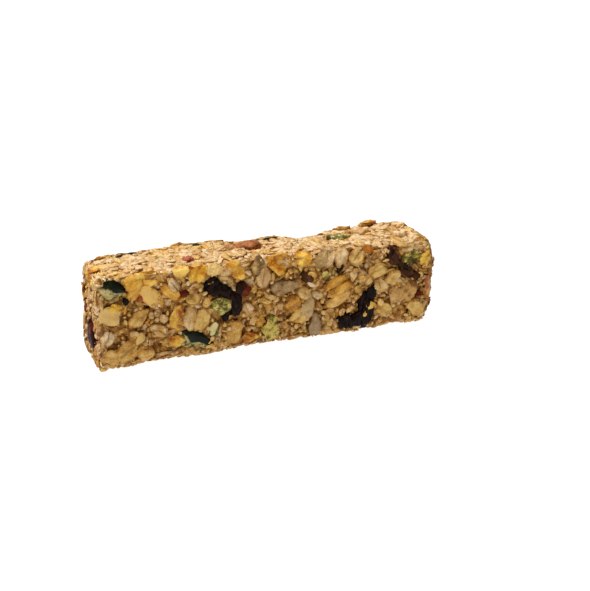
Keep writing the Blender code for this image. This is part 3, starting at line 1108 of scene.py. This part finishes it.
# %% [markdown]
# ## Rolled oats
#
# A rolled oat is a groat flattened between rollers: an oval disc under a millimetre
# thick, ragged where it split, with one crease along the middle. Hundreds of them make
# the bar, so each has few faces and the crease is drawn by its finish. About a third are
# laid as they fell in the tray, flat, so that the long faces cut them on edge; the rest
# turn their broad side to the face. The top was pressed, so there everything lies flatter
# than on the cut faces; its pieces are also paler.

# %% Scattering over all faces
CM2 = 0.01**2
AREA = {name: np.prod((HIGH - LOW)[outline[name]["others"]]) / CM2 for name in FACES}
UP = np.array([0.0, 0.0, 1.0])
PRESSED_TILT = 0.2  # the top's share of the lean on the cut faces
PRESSED_DEPTH = 0.4  # the top's share of their depth
TOP_TONE = 0.55  # the top's share of their range of tones
ROOM_GROWTH = 0.25  # share of a piece's length by which it gives way earlier
# How much syrup tint the pieces on each face get: partly a glaze, partly painted shade
# that keeps the front, back and base darker than the ends and the top.
SYRUP_AND_FACE_SHADE = {"front": 0.8, "back": 0.8, "left": 0.1, "right": 0.1, "base": 0.6, "top": 0.0}
SYRUP_SPREAD = 0.45


def dyed_and_shaded(rng, tones, syrup):
    """One row of dye for each copy: tone, crease, which cream pieces lack, syrup tint, which
    is partly painted shade, and 1.
    """
    count = len(tones)
    syrup = np.clip(syrup + SYRUP_SPREAD * rng.normal(0, 1, count), 0, 1)
    return np.column_stack([tones, rng.random(count) * (tones > 0), syrup, np.ones(count)])


def scatter(rng, make, per_cm2, shape, level, tilt, length, on_edge=0.0, tone=(0.0, 1.0),
            yields=1.0, on_top=1.0, **sizes):
    """A group of copies of a shape over all six faces, laid and pressed.

    per_cm2 is how many lie on each square centimetre, level the range of depth under the
    outline, tilt how far they lean from the face, on_edge the share lying flat in the bar,
    yields how far they give way to the placed pieces and on_top the top's share.
    """
    parts = []
    for name in FACES:
        is_top = name == "top"
        count = round(per_cm2 * AREA[name] * (on_top if is_top else 1.0))
        spots, out = round_the_edge(name, spread_spots(name, count, rng))
        lean = tilt * (PRESSED_TILT if is_top else 1.0)
        normal = unit(out + lean * rng.normal(0, 1, (count, 3)))
        if name not in ("top", "base"):
            flat = rng.random(count) < on_edge
            normal[flat] = unit(UP + 0.3 * rng.normal(0, 1, (count, 3)))[flat]
        points, place = make(rng, count, shape, length=length, **sizes)
        depth = rng.uniform(*level, count) * (PRESSED_DEPTH if is_top else 1.0)
        depth -= yields * given_way(spots, ROOM_GROWTH * np.mean(length))
        points = laid(turned(points, normal, rng.normal(0, 1, (count, 3))), spots, out, depth)
        tones = rng.uniform(*tone, count) * (TOP_TONE if is_top else 1.0)
        # The face's syrup tint, partly painted shade.
        dye_and_shade = dyed_and_shaded(rng, tones, SYRUP_AND_FACE_SHADE[name])
        parts.append((pressed(points, depth[:, None]), place, dye_and_shade))
    return *(np.concatenate(column) for column in zip(*parts)), shape


# %% Laying the placed ones
FACE_AXES = {"front": (0, 2), "back": (0, 2), "left": (1, 2), "right": (1, 2), "top": (0, 1)}
PLACED_LEVEL = 0.3 * MM
PLACED_SHARE = 0.96  # share of a piece's points that end under that level


def placed(rng, make, kind, tilt=0.15, level=PLACED_LEVEL, share=PLACED_SHARE, **sizes):
    """A group of copies, one for each row of a table, laid just over the others."""
    rows = TABLES[kind]
    count = len(rows)
    length, width, turn, tone = np.array([row[3:] for row in rows]).T
    spots, out, along = np.zeros((3, count, 3))
    for row, (face, first, second, *_) in enumerate(rows):
        spot = on_face(face, [first * MM], [second * MM])
        (spots[row],), (out[row],) = round_the_edge(face, spot)
        one, two = FACE_AXES[face]
        along[row, one] = math.cos(math.radians(turn[row]))
        along[row, two] = math.sin(math.radians(turn[row]))
    normal = unit(out + tilt * rng.normal(0, 1, (count, 3)))
    points, place = make(rng, count, MEDIUM, length=length * MM, width=width * MM, **sizes)
    points = laid(turned(points, normal, along), spots, out, np.full(count, level), share)
    # Each face's syrup tint, partly painted shade.
    dye_and_shade = dyed_and_shaded(rng, tone, np.array([SYRUP_AND_FACE_SHADE[row[0]] for row in rows]))
    return pressed(points, level), place, dye_and_shade, MEDIUM


# %% Rolled oats over the bar
oat_finish = toasted_and_shaded(
    "rolled_oat", (244, 212, 166), (216, 170, 108), (140, 90, 42), crease=0.5, mottle=0.8,
    bump=0.6, grain=650.0,
)
LUMP_LEVEL = 0.9 * MM  # how far the lumps stand over the top
rng = np.random.default_rng(3)
oat_form = {"ragged": 0.2, "curl": 0.18, "crumple": 0.25 * MM}
oats = scatter(
    rng, flake, 8.1, OAT, level=(-1.3 * MM, 0.2 * MM), tilt=0.4, on_edge=0.3, on_top=1.3,
    length=(4.5 * MM, 8.5 * MM), width=(3.5 * MM, 6.0 * MM), thickness=(0.6 * MM, 1.0 * MM),
    **oat_form,
)
large_form = {"ragged": 0.23, "curl": 0.2, "crumple": 0.5 * MM}
large_oats = placed(rng, flake, "oats", thickness=(1.2 * MM, 2.0 * MM), **large_form)
lumps = placed(
    rng, flake, "lumps", level=LUMP_LEVEL, thickness=(1.6 * MM, 2.4 * MM), **large_form,
)
as_mesh("rolled_oats", [oats, large_oats, lumps], oat_finish)


# %% [markdown]
# ## Broken oats and crumbs
#
# Stirring breaks the flakes, and the saw breaks them again. The broken ones fill the
# spaces between whole flakes, and crumbs fill the rest; without them a model of such a
# bar looks like a pile of leaves. Most lie a little deeper, so that the whole flakes stay
# in front, but a few loose crumbs stick on top of everything, fruit included.

# %% Broken oats
broken_finish = toasted_and_shaded(
    "broken_oat", (244, 212, 166), (214, 168, 106), (146, 96, 46), size=700.0, mottle=0.7,
)
broken_oats = scatter(
    rng, flake, 23.0, SHARD, level=(-1.2 * MM, 0.2 * MM), tilt=0.6, yields=0.75, on_top=0.6,
    length=(2.4 * MM, 5.2 * MM), width=(1.8 * MM, 3.6 * MM), thickness=(0.6 * MM, 1.4 * MM),
    tone=(0.0, 0.75), ragged=0.25, curl=0.22, crumple=0.1 * MM,
)
# Splinters that lap over the rims of everything.
splinters = scatter(
    np.random.default_rng(11), flake, 5.0, SHARD, level=(-0.5 * MM, 0.4 * MM), tilt=0.5,
    yields=0.3, on_top=0.4, length=(1.4 * MM, 3.4 * MM), width=(1.0 * MM, 2.2 * MM),
    thickness=(0.5 * MM, 0.9 * MM), tone=(-0.1, 0.8), ragged=0.3, curl=0.25, crumple=0.1 * MM,
)
as_mesh("broken_oats", [broken_oats, splinters], broken_finish)

# %% Crumbs
crumb_finish = toasted_and_shaded(
    "crumb", (242, 212, 162), (220, 174, 112), (150, 100, 54), size=900.0, rim=0.0,
)
crumb_form = {"taper": 0.1, "rough": 0.12, "tilt": 1.0}
crumbs = scatter(
    rng, kernel, 17.0, CRUMB, level=(-1.2 * MM, 0.15 * MM), yields=0.7, on_top=0.5,
    tone=(-0.1, 0.9),
    length=(0.9 * MM, 2.4 * MM), width=(0.8 * MM, 1.8 * MM), thickness=(0.6 * MM, 1.4 * MM),
    **crumb_form,
)
loose_crumbs = scatter(
    rng, kernel, 4.0, CRUMB, level=(-0.4 * MM, 0.35 * MM), yields=0.3, tone=(-0.2, 1.0),
    length=(0.7 * MM, 2.6 * MM), width=(0.5 * MM, 1.3 * MM), thickness=(0.5 * MM, 1.0 * MM),
    **crumb_form,
)
as_mesh("crumbs", [crumbs, loose_crumbs], crumb_finish)


# %% [markdown]
# ## Corn flakes
#
# A corn flake is thinner and harder than an oat, blistered and crumpled by the oven, and
# far more orange. It is the same formula with more crumple, more faces to carry it, and a
# glossier finish, because the syrup doesn't soak in.

# %% Corn flakes over the bar
# Its dips are drawn browner than its crests: painted shade.
corn_finish = toasted_and_shaded(
    "corn_flake", (250, 212, 118), (234, 172, 62), (180, 102, 24), mottle=1.0, size=420.0,
    rim=0.2, rough=0.45, coat=0.15, hollow_shade=0.5, bump=0.6, grain=600.0,
)
CORN_LEVEL = 0.6 * MM  # how far the listed ones stand out
corn_form = {"thickness": (0.5 * MM, 0.8 * MM), "ragged": 0.24, "crumple": 0.9 * MM}
corn = scatter(
    rng, flake, 0.9, MEDIUM, level=(-1.4 * MM, 0.1 * MM), tilt=0.45, on_top=0.4,
    length=(3.5 * MM, 7.5 * MM), width=(3.0 * MM, 5.0 * MM), curl=0.25, **corn_form,
)
corn_crumbs = scatter(
    rng, flake, 1.6, SHARD, level=(-0.4 * MM, 0.3 * MM), tilt=0.6, yields=0.4, on_top=0.4,
    length=(1.2 * MM, 3.0 * MM), width=(1.0 * MM, 2.0 * MM), thickness=(0.5 * MM, 0.9 * MM),
    tone=(-0.2, 0.8), ragged=0.25, curl=0.3, crumple=0.2 * MM,
)
large_corn = placed(rng, flake, "corn", level=CORN_LEVEL, share=0.85, curl=0.12, **corn_form)
as_mesh("corn_flakes", [corn, corn_crumbs, large_corn], corn_finish)


# %% [markdown]
# ## Kernels, nut slices and coloured bits
#
# Sunflower kernels are grey-beige drops about ten millimetres long. Nut slices are smooth
# and waxy, pale to ochre. Between them lie crumpled bits of green seed flesh, a few
# specks of red berry and torn bits of raisin. All use the kernel or the flake formula;
# what tells them apart is proportion, colour and gloss.

# %% Sunflower kernels
sunflower_finish = toasted_and_shaded(
    "sunflower_kernel", (212, 182, 140), (174, 142, 104), (116, 86, 56), mottle=0.9,
    rim=0.35, rough=0.5, bump=0.45, grain=600.0,
)
sunflower_form = {"thickness": (2.0 * MM, 2.6 * MM), "taper": 0.42, "bend": 0.1, "rough": 0.13}
sunflower = scatter(
    rng, kernel, 0.6, MEDIUM, level=(-1.4 * MM, 0.0), tilt=0.35, on_top=0.5,
    length=(7.0 * MM, 9.5 * MM), width=(3.4 * MM, 4.4 * MM), **sunflower_form,
)
large_sunflower = placed(rng, kernel, "sunflower", **sunflower_form)
as_mesh("sunflower_kernels", [sunflower, large_sunflower], sunflower_finish)

# %% Nut slices
nut_finish = toasted_and_shaded(
    "nut_slice", (250, 208, 130), (226, 170, 82), (164, 106, 42), mottle=0.8, rim=0.35,
    rough=0.45, coat=0.12, bump=0.45, grain=600.0,
)
nut_form = {"thickness": (1.6 * MM, 2.4 * MM), "taper": -0.25, "bend": 0.3, "rough": 0.2}
nuts = scatter(
    rng, kernel, 0.9, MEDIUM, level=(-1.4 * MM, 0.1 * MM), tilt=0.4, on_top=0.5,
    length=(3.5 * MM, 7.0 * MM), width=(2.5 * MM, 4.2 * MM), **nut_form,
)
large_nuts = placed(rng, kernel, "nuts", **nut_form)
as_mesh("nut_slices", [nuts, large_nuts], nut_finish)

# %% Green seed flesh
# Its dips are drawn browner than its hills: painted shade.
green_finish = toasted_and_shaded(
    "green_bit", (232, 214, 150), (154, 146, 68), (86, 76, 36), mottle=1.8, size=600.0,
    rim=0.1, rough=0.55, bump=0.5, grain=700.0, hollow_shade=0.4,
)
GREEN_LEVEL = 0.4 * MM
green_form = {"ragged": 0.3, "crumple": 0.9 * MM}
green = scatter(
    rng, flake, 0.10, MEDIUM, level=(-1.2 * MM, 0.0), tilt=0.4, thickness=(1.0 * MM, 1.6 * MM),
    length=(3.0 * MM, 6.5 * MM), width=(2.5 * MM, 4.5 * MM), curl=0.3, **green_form,
)
large_green = placed(
    rng, flake, "green", level=GREEN_LEVEL, thickness=(1.2 * MM, 1.8 * MM), curl=0.12,
    **green_form,
)
as_mesh("green_bits", [green, large_green], green_finish)

# %% Red berry bits
red_finish = toasted_and_shaded(
    "red_bit", (78, 18, 12), (108, 38, 22), (190, 108, 84), mottle=0.5, size=600.0,
    rim=0.0, rough=0.5, dull=FRUIT_DULL,
)
red_form = {"thickness": (1.0 * MM, 1.6 * MM), "taper": 0.15, "bend": 0.2, "rough": 0.18}
red = scatter(
    rng, kernel, 0.10, MEDIUM, level=(-0.8 * MM, 0.1 * MM), tilt=0.4,
    length=(1.6 * MM, 3.4 * MM), width=(1.2 * MM, 2.4 * MM), **red_form,
)
large_red = placed(rng, kernel, "red", **red_form)
as_mesh("red_bits", [red, large_red], red_finish)

# %% Torn bits of raisin
scrap_finish = toasted_and_shaded(
    "raisin_scrap", (18, 8, 8), (40, 20, 14), (84, 44, 24), mottle=0.5, size=500.0,
    rim=0.0, rough=0.5, coat=0.15, bump=0.5, grain=700.0, dull=FRUIT_DULL,
)
scrap_form = {"thickness": (1.6 * MM, 2.4 * MM), "taper": 0.1, "bend": 0.3, "rough": 0.3}
scraps = placed(rng, kernel, "scraps", **scrap_form)
as_mesh("raisin_scraps", [scraps], scrap_finish)


# %% [markdown]
# ## Raisins and dried berries
#
# Each has its own solid, which gives the place, the size and the way it lies: the points
# of the solid spread most along its length and least along its thickness, and a singular
# value decomposition finds these axes. A raisin is then a globe with sharp folds that run
# from end to end and wander. A fold is one minus the absolute value of a wave, which has
# a sharp valley and a round back, like a grape skin that has become too large.

# %% The place and axes of a solid
def own_frame(node):
    """Middle, axes as rows (long, wide, thin) and half sizes of a solid.

    The thin axis points out of the nearest face, the wide one up, or on the top forward.
    """
    points = mesh_points(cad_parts[node].data)
    axes = np.linalg.svd(points - points.mean(axis=0), full_matrices=False)[2]
    face = nearest_face(points.mean(axis=0))
    out = way_out(face)[0]
    up = -way_out("back")[0] if face in ("top", "base") else UP
    wide = axes[1] * (1 if axes[1] @ up > 0 else -1)
    thin = axes[2] * (1 if axes[2] @ out > 0 else -1)
    axes = np.array([np.cross(wide, thin), wide, thin])
    spans = points @ axes.T
    middle = (spans.max(axis=0) + spans.min(axis=0)) / 2
    return middle @ axes, axes, np.ptp(spans, axis=0) / 2


# %% The shape of a dried fruit
BLUNT = 0.85  # below 1 the fruit is fuller than an ellipsoid


def wrinkled(rng, node, depth, folds):
    """A dried fruit: a blunt ellipsoid with folds from end to end and fine creases."""
    middle, axes, half = own_frame(node)
    ways = FINE["points"][:, [2, 0, 1]]
    wander = waves(rng, 1, ways, 1.6)[0]
    turn = np.arctan2(ways[:, 2], ways[:, 1])
    width = np.hypot(ways[:, 1], ways[:, 2])
    fold = np.abs(np.sin(folds / 2 * turn + 1.6 * wander))
    fine = np.abs(waves(rng, 1, ways, 6.0)[0])
    swell = waves(rng, 1, ways, 1.8)[0]
    reach = 1.04 - depth * width * (1 - fold) ** 2 - 0.07 * (1 - fine) + 0.17 * swell
    blunt = np.sign(ways) * np.abs(ways) ** BLUNT
    place = np.stack([fold, fine, swell], axis=-1)
    return middle + (blunt * reach[:, None] * half) @ axes, place


# %% The finish of a dried fruit
def make_fruit_colour():
    """Dark skin with lighter worn patches, and a red glow where it is thin."""
    tree, given, result = new_group(
        "fruit_colour",
        (
            ("Vector", "NodeSocketVector", None),
            ("Dark", "NodeSocketColor", None),
            ("Worn", "NodeSocketColor", None),
            ("Red", "NodeSocketColor", None),
        ),
        (("Color", "NodeSocketColor"),),
    )
    where = given.outputs["Vector"]
    worn = between(tree, noise(tree, where, 420.0, 3.0), 0.45, 0.7)
    skin = mixed(tree, worn, given.outputs["Dark"], given.outputs["Worn"])
    thin = between(tree, noise(tree, where, 170.0), 0.55, 0.75)
    feed(tree, result.inputs["Color"], mixed(tree, thin, skin, given.outputs["Red"]))
    return tree


FRUIT_COLOUR = make_fruit_colour()


def fruit_finish(name, dark, worn, red, rough, coat):
    finish = bpy.data.materials.new(name)
    finish.use_nodes = True
    tree = finish.node_tree
    shader = tree.nodes["Principled BSDF"]
    where = put(tree, "ShaderNodeTexCoord").outputs["Object"]
    inputs = {"Vector": where, "Dark": srgb(*dark), "Worn": srgb(*worn), "Red": srgb(*red)}
    skin = put(tree, "ShaderNodeGroup", node_tree=FRUIT_COLOUR)
    for label, value in inputs.items():
        feed(tree, skin.inputs[label], value)
    feed(tree, shader.inputs["Base Color"], skin.outputs["Color"])
    bumped(tree, shader, where, grain_height(tree, where, 1000.0, 0.5), 0.25)
    shader.inputs["Roughness"].default_value = rough
    shader.inputs["Specular IOR Level"].default_value = FRUIT_DULL
    shader.inputs["Coat Weight"].default_value = coat
    shader.inputs["Coat Roughness"].default_value = 0.2
    return finish


raisin_finish = fruit_finish("raisin_skin", (20, 10, 8), (48, 26, 18), (82, 36, 16), 0.5, 0.12)
brown_finish = fruit_finish("raisin_brown", (68, 39, 22), (124, 77, 45), (144, 85, 42), 0.5, 0.1)
berry_finish = fruit_finish("cranberry_skin", (46, 9, 4), (76, 20, 9), (114, 38, 20), 0.42, 0.08)


# %% Fruit in the place of its solid
def node_rng(node):
    """Random numbers that belong to a node's name, so each piece keeps its form."""
    return np.random.default_rng(sum(map(ord, node)))


def add_skin(node, points, place, finish, slot_name):
    """Puts one piece in the place of a solid."""
    group = (points[None], place, np.array([[0.5, 1.0, 0.5, 1.0]]), FINE)
    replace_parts(as_mesh(f"{node}_skin", [group], finish), node)


# The raisins near the right end are younger and browner.
BROWN_RAISINS = ("raisin_front_5", "raisin_front_6", "raisin_front_7", "raisin_back_2")
for node in sorted(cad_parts):
    if node.startswith("raisin"):
        finish = brown_finish if node in BROWN_RAISINS else raisin_finish
        add_skin(node, *wrinkled(node_rng(node), node, 0.24, 9), finish, "raisin_skin")
    elif node.startswith("cranberry"):
        add_skin(node, *wrinkled(node_rng(node), node, 0.16, 7), berry_finish, "cranberry_skin")


# %% [markdown]
# ## Almond and pumpkin seeds
#
# The almond is a kernel with a papery, striped skin, sunk into the top. The pumpkin seeds
# were cut by the knife: above the cut they keep their black-green skin, below it shows the
# pale, crumbly flesh. One formula does both, with a ragged line across the seed's width
# under which the surface falls back and grows rough.

# %% Almond
almond_finish = toasted_and_shaded(
    "almond_skin", (202, 140, 98), (170, 108, 74), (122, 70, 42), mottle=1.1, rim=0.3,
    rough=0.6, bump=0.3, size=350.0, dull=FRUIT_DULL,
)
ALMOND_RISE = 0.5 * MM  # it lies on the pressed top as much as in it
middle, axes, half = own_frame("almond_top")
whole = {"length": (2.0, 2.0), "width": (2.0, 2.0), "thickness": (2.0, 2.0)}
local, place = kernel(node_rng("almond_top"), 1, FINE, taper=0.25, rough=0.08, **whole)
middle = middle + ALMOND_RISE * axes[2]
add_skin("almond_top", middle + (local[0] * half) @ axes, place, almond_finish, "almond_skin")


# %% Pumpkin seeds
def seed_finish_nodes():
    """Black-green skin above the cut, mottled with paler green that is partly the skin's own
    colour and partly painted sheen, yellow-green flesh below: place Z holds the cut.
    """
    finish = toasted_and_shaded(
        # The pale green is partly the skin's own colour, partly painted sheen.
        "pumpkin_seed_skin", (40, 50, 26), (18, 23, 11), (8, 11, 5), rim=0.0,
        rough=0.42, coat=0.25, bump=0.3, dull=FRUIT_DULL,
    )
    tree = finish.node_tree
    shader = tree.nodes["Principled BSDF"]
    skin = shader.inputs["Base Color"].links[0].from_socket
    place = put(tree, "ShaderNodeAttribute", attribute_name="place").outputs["Vector"]
    cut = put(tree, "ShaderNodeSeparateXYZ", {"Vector": place}).outputs["Z"]
    where = put(tree, "ShaderNodeTexCoord").outputs["Object"]
    patch = between(tree, noise(tree, where, 700.0, 3.0), 0.36, 0.6)
    flesh = mixed(tree, patch, srgb(84, 76, 34), srgb(206, 186, 120))
    feed(tree, shader.inputs["Base Color"], mixed(tree, cut, skin, flesh))
    return finish


seed_finish = seed_finish_nodes()
CUT_LINE = {"front": 0.0, "back": -0.25, "top": -0.7}
CUT_SLOPE = 0.4  # the cut runs down to the right


TOP_SEED_SINK = 0.7 * MM  # the seeds on the top are pressed in


def cut_seed(rng, node):
    """A flat drop; below a ragged line across its width the flesh lies bare and rough."""
    middle, axes, half = own_frame(node)
    if nearest_face(middle) == "top":
        middle = middle - TOP_SEED_SINK * axes[2]
    ways = FINE["points"]
    local = kernel(rng, 1, FINE, taper=0.3, rough=0.05, **whole)[0][0]
    ragged = waves(rng, 1, ways, 3.0)[0] + 0.4 * waves(rng, 1, ways, 9.0)[0]
    line = CUT_LINE[nearest_face(middle)] + 0.35 * ragged - CUT_SLOPE * ways[:, 0]
    bare = smooth_step((line - ways[:, 1]) / 0.12)
    rough = waves(rng, 1, ways, 7.0)[0]
    local[:, 2] *= 1 - bare * (0.22 + 0.28 * rough)
    return middle + (local * half) @ axes, np.column_stack([ways[:, :2], bare])


for node in sorted(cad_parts):
    if node.startswith("pumpkin"):
        add_skin(node, *cut_seed(node_rng(node), node), seed_finish, "pumpkin_seed_skin")
